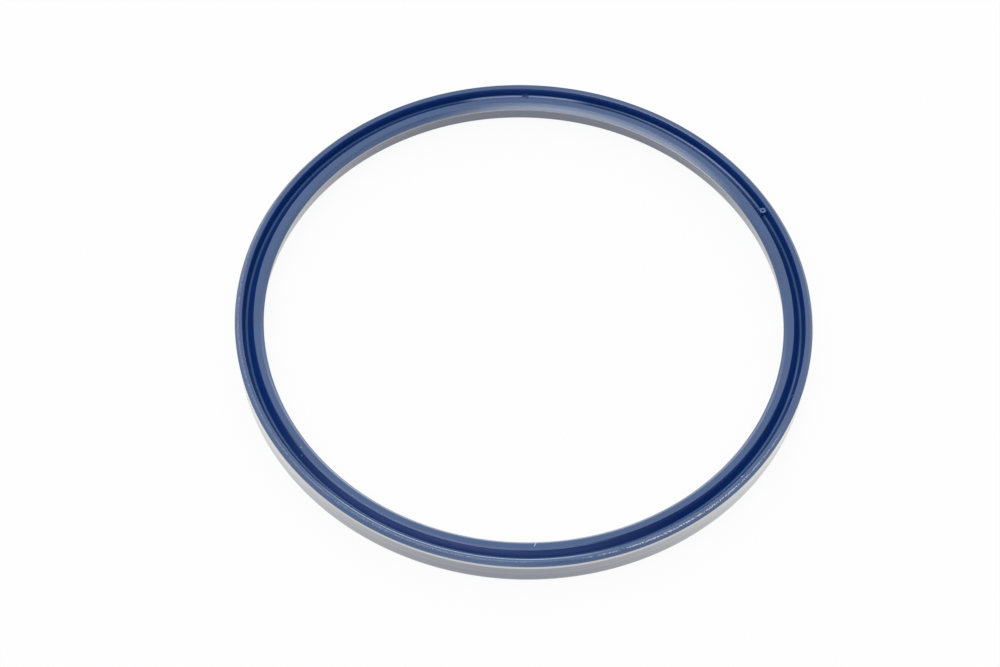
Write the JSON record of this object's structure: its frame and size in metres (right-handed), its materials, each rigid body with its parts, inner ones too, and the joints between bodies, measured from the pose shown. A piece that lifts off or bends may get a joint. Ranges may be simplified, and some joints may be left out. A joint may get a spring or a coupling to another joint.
{
  "type": "u cup seal",
  "caption": "Rod seal ring with a U-shaped section: flat heel, two bevelled lips and a shallow V-groove between them.",
  "frame": {"origin": "on the ring's axis, in the plane of the heel face that it rests on", "axes": "+Z along the ring's axis, from the heel to the lips; +X towards the side 30 degrees clockwise of the first gate pip"},
  "size_m": [0.1652, 0.1652, 0.0094],
  "materials": {
    "polyurethane": "smooth moulded, semi-gloss"
  },
  "bodies": {
    "root": {"seal_ring": "polyurethane"}
  },
  "joints": []
}
